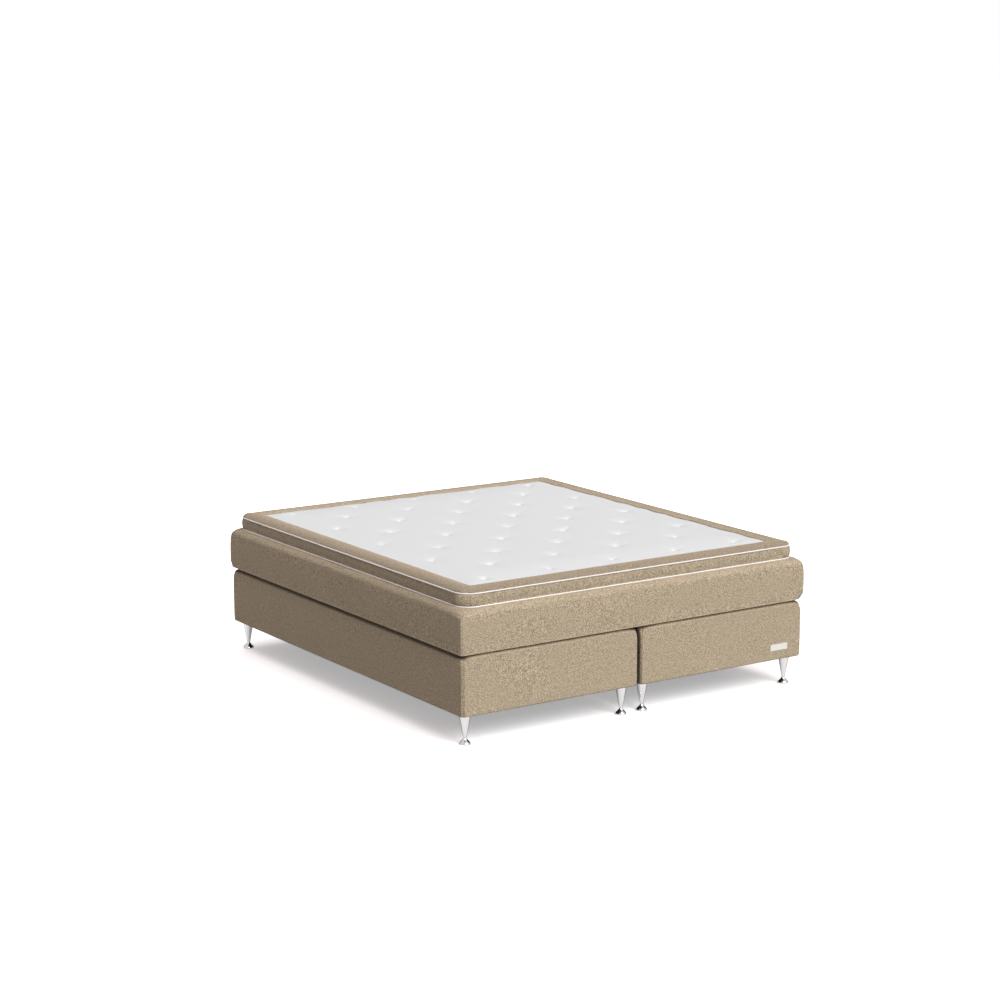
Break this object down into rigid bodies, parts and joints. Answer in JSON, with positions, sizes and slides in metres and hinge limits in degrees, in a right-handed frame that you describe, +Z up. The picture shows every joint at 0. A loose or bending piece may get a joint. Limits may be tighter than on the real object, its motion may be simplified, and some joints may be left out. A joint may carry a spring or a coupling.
{
  "type": "box spring bed",
  "caption": "Continental box spring bed in beige upholstery: sprung bases on turned metal legs with levelling feet, a deep mattress and a piped topper with a tufted white top.",
  "frame": {"origin": "on the floor under the middle of the bed", "axes": "+Z up, +Y towards the head end, +X to the right seen from the foot end"},
  "size_m": [1.8, 2, 0.648],
  "materials": {
    "upholstery": "matte",
    "ticking": "matte",
    "piping": "matte",
    "dust_cloth": "matte",
    "foam": "matte",
    "spring_felt": "matte",
    "pine": "satin",
    "chrome": "polished",
    "zinc": "satin",
    "plate_metal": "satin"
  },
  "bodies": {
    "bases": {"left_base_cover": "upholstery", "left_base_dust_cover": "dust_cloth", "left_base_left_rail": "pine", "left_base_right_rail": "pine", "left_base_front_rail": "pine", "left_base_rear_rail": "pine", "left_base_slat_1": "pine", "left_base_slat_2": "pine", "left_base_slat_3": "pine", "left_base_spring_unit": "spring_felt", "left_base_top_pad": "foam", "right_base_cover": "upholstery", "right_base_dust_cover": "dust_cloth", "right_base_left_rail": "pine", "right_base_right_rail": "pine", "right_base_front_rail": "pine", "right_base_rear_rail": "pine", "right_base_slat_1": "pine", "right_base_slat_2": "pine", "right_base_slat_3": "pine", "right_base_spring_unit": "spring_felt", "right_base_top_pad": "foam", "left_front_outer_leg": "chrome", "left_front_outer_leg_nut": "zinc", "left_front_inner_leg": "chrome", "left_front_inner_leg_nut": "zinc", "left_rear_outer_leg": "chrome", "left_rear_outer_leg_nut": "zinc", "left_rear_inner_leg": "chrome", "left_rear_inner_leg_nut": "zinc", "right_front_outer_leg": "chrome", "right_front_outer_leg_nut": "zinc", "right_front_inner_leg": "chrome", "right_front_inner_leg_nut": "zinc", "right_rear_outer_leg": "chrome", "right_rear_outer_leg_nut": "zinc", "right_rear_inner_leg": "chrome", "right_rear_inner_leg_nut": "zinc", "front_joining_strap": "zinc", "rear_joining_strap": "zinc", "label_plate": "plate_metal"},
    "left_front_outer_leveller": {"left_front_outer_leveller": "chrome"},
    "left_front_inner_leveller": {"left_front_inner_leveller": "chrome"},
    "left_rear_outer_leveller": {"left_rear_outer_leveller": "chrome"},
    "left_rear_inner_leveller": {"left_rear_inner_leveller": "chrome"},
    "right_front_outer_leveller": {"right_front_outer_leveller": "chrome"},
    "right_front_inner_leveller": {"right_front_inner_leveller": "chrome"},
    "right_rear_outer_leveller": {"right_rear_outer_leveller": "chrome"},
    "right_rear_inner_leveller": {"right_rear_inner_leveller": "chrome"},
    "mattress": {"mattress_cover": "upholstery", "mattress_bottom_panel": "dust_cloth", "mattress_foam_case": "foam", "mattress_pocket_springs": "spring_felt"},
    "topper": {"topper_border": "upholstery", "topper_bottom_panel": "ticking", "topper_core": "foam", "topper_top_panel": "ticking", "topper_lower_piping": "piping", "topper_upper_piping": "piping"}
  },
  "joints": [
    {"name": "left_front_outer_levelling", "type": "slide", "parent": "bases", "child": "left_front_outer_leveller", "axis": [0, 0, -1], "range_m": [0, 0.01]},
    {"name": "left_front_inner_levelling", "type": "slide", "parent": "bases", "child": "left_front_inner_leveller", "axis": [0, 0, -1], "range_m": [0, 0.01]},
    {"name": "left_rear_outer_levelling", "type": "slide", "parent": "bases", "child": "left_rear_outer_leveller", "axis": [0, 0, -1], "range_m": [0, 0.01]},
    {"name": "left_rear_inner_levelling", "type": "slide", "parent": "bases", "child": "left_rear_inner_leveller", "axis": [0, 0, -1], "range_m": [0, 0.01]},
    {"name": "right_front_outer_levelling", "type": "slide", "parent": "bases", "child": "right_front_outer_leveller", "axis": [0, 0, -1], "range_m": [0, 0.01]},
    {"name": "right_front_inner_levelling", "type": "slide", "parent": "bases", "child": "right_front_inner_leveller", "axis": [0, 0, -1], "range_m": [0, 0.01]},
    {"name": "right_rear_outer_levelling", "type": "slide", "parent": "bases", "child": "right_rear_outer_leveller", "axis": [0, 0, -1], "range_m": [0, 0.01]},
    {"name": "right_rear_inner_levelling", "type": "slide", "parent": "bases", "child": "right_rear_inner_leveller", "axis": [0, 0, -1], "range_m": [0, 0.01]},
    {"name": "mattress_lift_off", "type": "slide", "parent": "bases", "child": "mattress", "axis": [0, 0, 1], "range_m": [0, 0.3]},
    {"name": "topper_lift_off", "type": "slide", "parent": "mattress", "child": "topper", "axis": [0, 0, 1], "range_m": [0, 0.2]}
  ]
}
